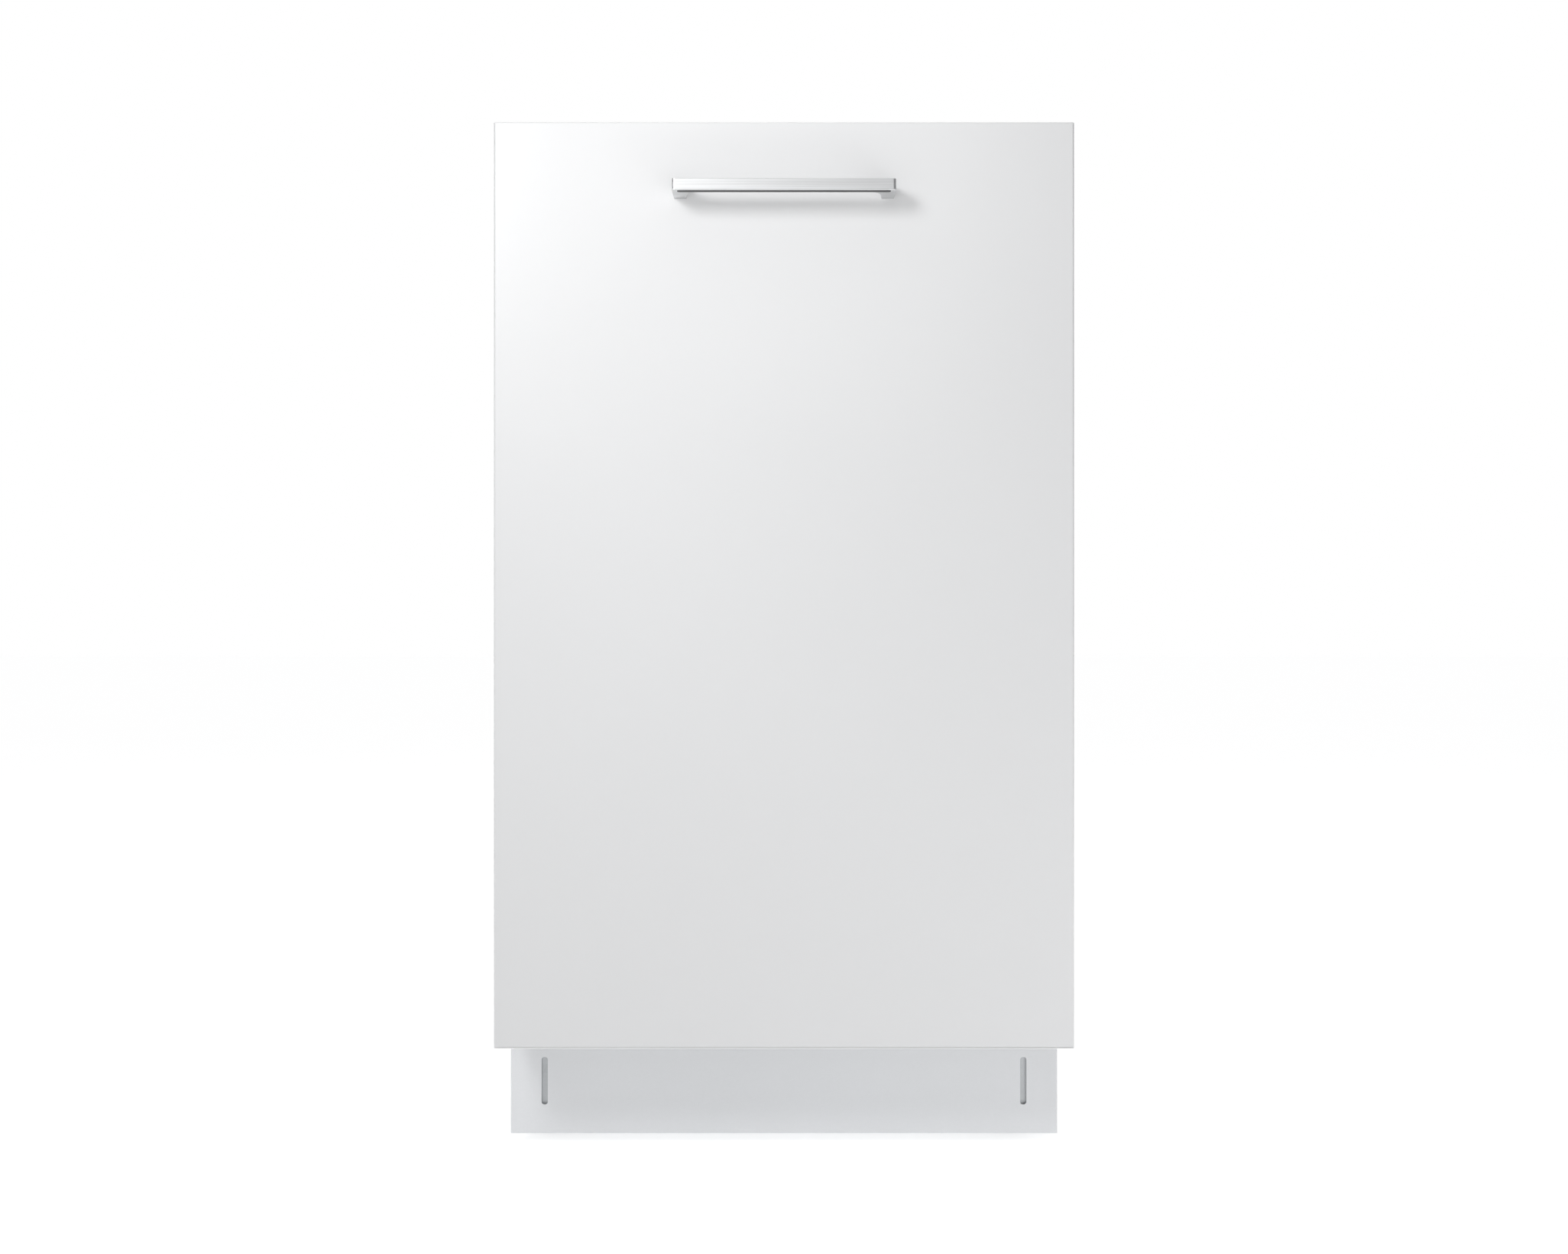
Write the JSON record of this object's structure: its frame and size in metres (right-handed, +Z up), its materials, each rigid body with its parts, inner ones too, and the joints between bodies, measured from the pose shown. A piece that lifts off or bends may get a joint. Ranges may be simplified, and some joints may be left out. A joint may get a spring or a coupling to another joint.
{
  "type": "built in dishwasher",
  "caption": "Slimline built-in dishwasher with a white furniture front and bar handle, drop-down door, steel tub, two sliding racks, spray arms and screw feet.",
  "frame": {"origin": "on the floor, under the middle of the whole object's box", "axes": "+Z up, front towards -Y, +X to the right when looking at the front"},
  "size_m": [0.448, 0.602, 0.815],
  "materials": {
    "white_lacquer": "fibreboard with smooth satin white lacquer",
    "satin_aluminium": "fine brushed, satin",
    "galvanised_sheet": "thin galvanised sheet",
    "grey_painted_sheet": "light grey coated sheet, satin",
    "stainless_steel": "fine brushed stainless",
    "zinc_plated_steel": "zinc plated",
    "grey_plastic": "moulded, light grey",
    "black_plastic": "moulded, black",
    "dark_gloss_plastic": "gloss, near black",
    "rack_coating": "nylon coated steel wire, grey",
    "wheel_plastic": "moulded, mid grey",
    "seal_rubber": "matte dark grey",
    "felt": "pressed felt"
  },
  "bodies": {
    "cabinet": {"base_pan": "grey_plastic", "kick_plate": "grey_painted_sheet", "left_side_panel": "galvanised_sheet", "right_side_panel": "galvanised_sheet", "rear_panel": "galvanised_sheet", "top_cover": "galvanised_sheet", "insulation_blanket": "felt", "tub": "stainless_steel", "tub_seal": "seal_rubber", "sump": "grey_plastic", "filter_plate": "stainless_steel", "feed_pipe": "grey_plastic", "left_outer_rail": "stainless_steel", "right_outer_rail": "stainless_steel", "latch_strike": "zinc_plated_steel", "circulation_pump": "black_plastic", "water_softener": "grey_plastic", "inlet_valve": "black_plastic", "cable_gland": "black_plastic", "left_hinge_bracket": "zinc_plated_steel", "right_hinge_bracket": "zinc_plated_steel", "left_hinge_spring": "zinc_plated_steel", "right_hinge_spring": "zinc_plated_steel"},
    "front_left_foot": {"front_left_foot": "black_plastic"},
    "front_right_foot": {"front_right_foot": "black_plastic"},
    "rear_left_foot": {"rear_left_foot": "black_plastic"},
    "rear_right_foot": {"rear_right_foot": "black_plastic"},
    "lower_spray_arm": {"lower_spray_arm": "stainless_steel"},
    "top_spray_head": {"top_spray_head": "grey_plastic"},
    "filter_cup": {"filter_cup": "grey_plastic"},
    "salt_cap": {"salt_cap": "grey_plastic"},
    "door": {"front_panel": "white_lacquer", "handle": "satin_aluminium", "door_sheet": "galvanised_sheet", "door_liner": "stainless_steel", "control_panel": "dark_gloss_plastic", "dispenser": "grey_plastic", "latch": "black_plastic", "left_hinge_arm": "zinc_plated_steel", "right_hinge_arm": "zinc_plated_steel"},
    "power_button": {"power_button": "dark_gloss_plastic"},
    "program_button": {"program_button": "dark_gloss_plastic"},
    "start_button": {"start_button": "dark_gloss_plastic"},
    "detergent_lid": {"detergent_lid": "grey_plastic"},
    "rinse_aid_cap": {"rinse_aid_cap": "wheel_plastic"},
    "inner_rails": {"left_inner_rail": "stainless_steel", "right_inner_rail": "stainless_steel"},
    "upper_rack": {"upper_rack": "rack_coating", "upper_feed_duct": "grey_plastic"},
    "upper_spray_arm": {"upper_spray_arm": "stainless_steel"},
    "cup_shelf": {"cup_shelf": "rack_coating"},
    "lower_rack": {"lower_rack": "rack_coating", "plate_tines": "rack_coating"},
    "folding_tines": {"folding_tines": "rack_coating"},
    "cutlery_basket": {"cutlery_basket": "grey_plastic"},
    "front_left_wheel": {"front_left_wheel": "wheel_plastic"},
    "front_right_wheel": {"front_right_wheel": "wheel_plastic"},
    "rear_left_wheel": {"rear_left_wheel": "wheel_plastic"},
    "rear_right_wheel": {"rear_right_wheel": "wheel_plastic"}
  },
  "joints": [
    {"name": "door_open", "type": "hinge", "parent": "cabinet", "child": "door", "pos_m": [0, -0.201, 0.112], "axis": [1, 0, 0], "range_deg": [0, 90], "stiffness_Nm_per_rad": 22, "springref_deg": -20.63, "deforming": ["left_hinge_spring", "right_hinge_spring"]},
    {"name": "upper_rack_slide", "type": "slide", "parent": "cabinet", "child": "upper_rack", "axis": [0, -1, 0], "range_m": [0, 0.41]},
    {"name": "inner_rail_slide", "type": "slide", "parent": "cabinet", "child": "inner_rails", "axis": [0, -1, 0], "range_m": [0, 0.205]},
    {"name": "lower_rack_slide", "type": "slide", "parent": "cabinet", "child": "lower_rack", "axis": [0, -1, 0], "range_m": [0, 0.145]},
    {"name": "front_left_wheel_spin", "type": "hinge", "parent": "lower_rack", "child": "front_left_wheel", "pos_m": [-0.182, -0.05, 0.1395], "axis": [1, 0, 0], "range_deg": [-10, 550]},
    {"name": "front_right_wheel_spin", "type": "hinge", "parent": "lower_rack", "child": "front_right_wheel", "pos_m": [0.182, -0.05, 0.1395], "axis": [1, 0, 0], "range_deg": [-10, 550]},
    {"name": "rear_left_wheel_spin", "type": "hinge", "parent": "lower_rack", "child": "rear_left_wheel", "pos_m": [-0.182, 0.19, 0.1395], "axis": [1, 0, 0], "range_deg": [-10, 550]},
    {"name": "rear_right_wheel_spin", "type": "hinge", "parent": "lower_rack", "child": "rear_right_wheel", "pos_m": [0.182, 0.19, 0.1395], "axis": [1, 0, 0], "range_deg": [-10, 550]},
    {"name": "lower_spray_arm_spin", "type": "hinge", "parent": "cabinet", "child": "lower_spray_arm", "pos_m": [0, 0.045, 0.14], "axis": [0, 0, 1], "continuous": true},
    {"name": "top_spray_head_spin", "type": "hinge", "parent": "cabinet", "child": "top_spray_head", "pos_m": [0, 0.02, 0.768], "axis": [0, 0, 1], "continuous": true},
    {"name": "upper_spray_arm_spin", "type": "hinge", "parent": "upper_rack", "child": "upper_spray_arm", "pos_m": [0, 0.02, 0.462], "axis": [0, 0, 1], "continuous": true},
    {"name": "cup_shelf_fold", "type": "hinge", "parent": "upper_rack", "child": "cup_shelf", "pos_m": [-0.1695, -0.015, 0.552], "axis": [0, -1, 0], "range_deg": [0, 80]},
    {"name": "tine_row_fold", "type": "hinge", "parent": "lower_rack", "child": "folding_tines", "pos_m": [-0.042, 0.098, 0.1592], "axis": [-1, 0, 0], "range_deg": [0, 85]},
    {"name": "cutlery_basket_lift", "type": "slide", "parent": "lower_rack", "child": "cutlery_basket", "axis": [0, 0, 1], "range_m": [0, 0.12]},
    {"name": "power_button_press", "type": "slide", "parent": "door", "child": "power_button", "axis": [0, 0, -1], "range_m": [0, 0.0015], "stiffness_N_per_m": 1500},
    {"name": "program_button_press", "type": "slide", "parent": "door", "child": "program_button", "axis": [0, 0, -1], "range_m": [0, 0.0015], "stiffness_N_per_m": 1500},
    {"name": "start_button_press", "type": "slide", "parent": "door", "child": "start_button", "axis": [0, 0, -1], "range_m": [0, 0.0015], "stiffness_N_per_m": 1500},
    {"name": "detergent_lid_open", "type": "hinge", "parent": "door", "child": "detergent_lid", "pos_m": [-0.028, -0.2052, 0.434], "axis": [1, 0, 0], "range_deg": [0, 95]},
    {"name": "rinse_aid_cap_turn", "type": "hinge", "parent": "door", "child": "rinse_aid_cap", "pos_m": [0.048, -0.207, 0.4], "axis": [0, -1, 0], "range_deg": [0, 90]},
    {"name": "salt_cap_turn", "type": "hinge", "parent": "cabinet", "child": "salt_cap", "pos_m": [-0.12, 0.15, 0.13], "axis": [0, 0, 1], "range_deg": [0, 360]},
    {"name": "filter_cup_turn", "type": "hinge", "parent": "cabinet", "child": "filter_cup", "pos_m": [0.048, -0.034, 0.124], "axis": [0, 0, 1], "range_deg": [0, 90]},
    {"name": "front_left_foot_height", "type": "slide", "parent": "cabinet", "child": "front_left_foot", "axis": [0, 0, 1], "range_m": [-0.06, 0]},
    {"name": "front_right_foot_height", "type": "slide", "parent": "cabinet", "child": "front_right_foot", "axis": [0, 0, 1], "range_m": [-0.06, 0]},
    {"name": "rear_left_foot_height", "type": "slide", "parent": "cabinet", "child": "rear_left_foot", "axis": [0, 0, 1], "range_m": [-0.06, 0]},
    {"name": "rear_right_foot_height", "type": "slide", "parent": "cabinet", "child": "rear_right_foot", "axis": [0, 0, 1], "range_m": [-0.06, 0]}
  ],
  "couplings": [
    {"joint": "upper_rack_slide", "follows": "door_open", "m_per_rad": 0.2546},
    {"joint": "inner_rail_slide", "follows": "door_open", "m_per_rad": 0.1273},
    {"joint": "lower_rack_slide", "follows": "door_open", "m_per_rad": 0.09},
    {"joint": "front_left_wheel_spin", "follows": "door_open", "ratio": 6},
    {"joint": "front_right_wheel_spin", "follows": "door_open", "ratio": 6},
    {"joint": "rear_left_wheel_spin", "follows": "door_open", "ratio": 6},
    {"joint": "rear_right_wheel_spin", "follows": "door_open", "ratio": 6}
  ]
}
